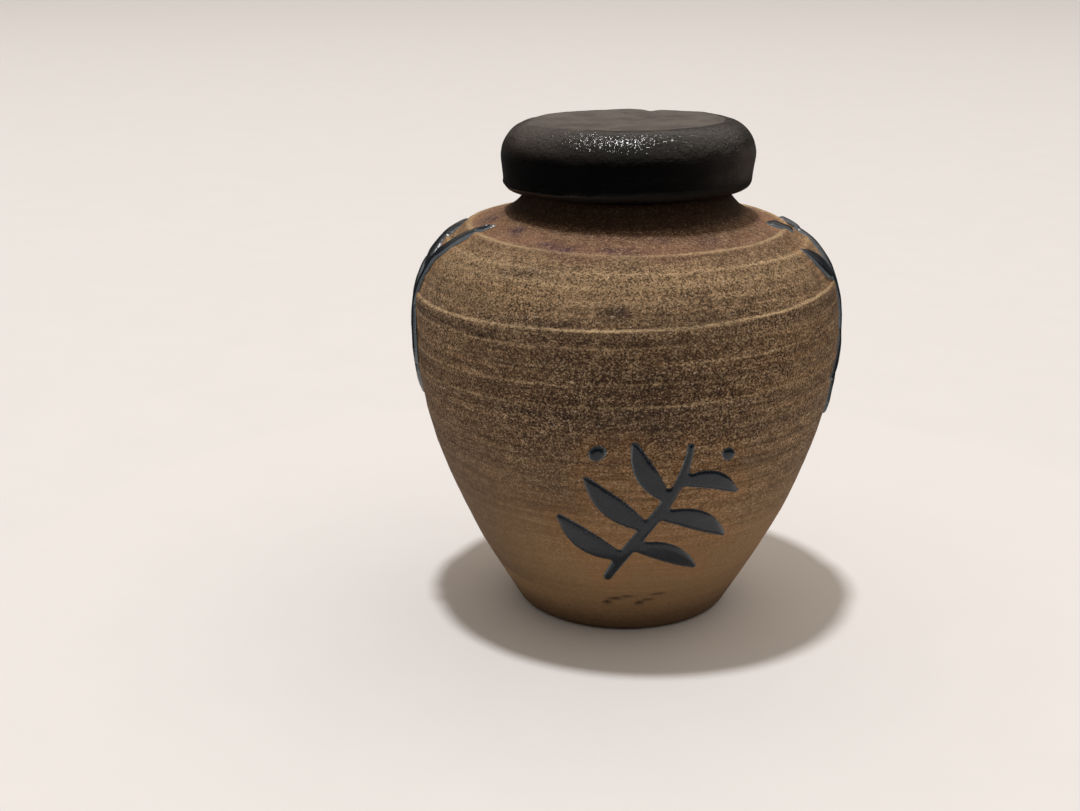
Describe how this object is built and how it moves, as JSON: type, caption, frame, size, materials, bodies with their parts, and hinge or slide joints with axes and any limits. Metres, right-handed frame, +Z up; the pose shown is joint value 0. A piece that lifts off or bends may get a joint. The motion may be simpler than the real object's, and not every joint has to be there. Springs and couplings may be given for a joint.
{
  "type": "sake bottle",
  "caption": "Small hand-thrown stoneware sake bottle with a short neck, raised slip sprigs and a glazed lift-off cap with a cork under it.",
  "frame": {"origin": "centre of the flat underside of the foot, where the bottle stands", "axes": "+Z up along the axis of the jar; -Y is the front, which carries the main sprig; +X is the bottle's right seen from the front"},
  "size_m": [0.0697, 0.0686, 0.08],
  "materials": {
    "stoneware": "unglazed sandy stoneware, matte, with fine throwing lines",
    "slip_glaze": "dark blue-grey trailed slip, satin gloss",
    "black_glaze": "near-black glaze, glossy with orange peel, satin on top",
    "adhesive": "clear amber adhesive film",
    "cork": "agglomerated cork, matte"
  },
  "bodies": {
    "jar": {"jar_body": "stoneware", "front_slip_sprig": "slip_glaze", "right_slip_sprig": "slip_glaze", "left_slip_sprig": "slip_glaze"},
    "lid": {"cap": "black_glaze", "cap_adhesive": "adhesive", "cork_stopper": "cork"}
  },
  "joints": [
    {"name": "cap_lift", "type": "slide", "parent": "jar", "child": "lid", "axis": [0, 0, 1], "range_m": [0, 0.035]}
  ]
}
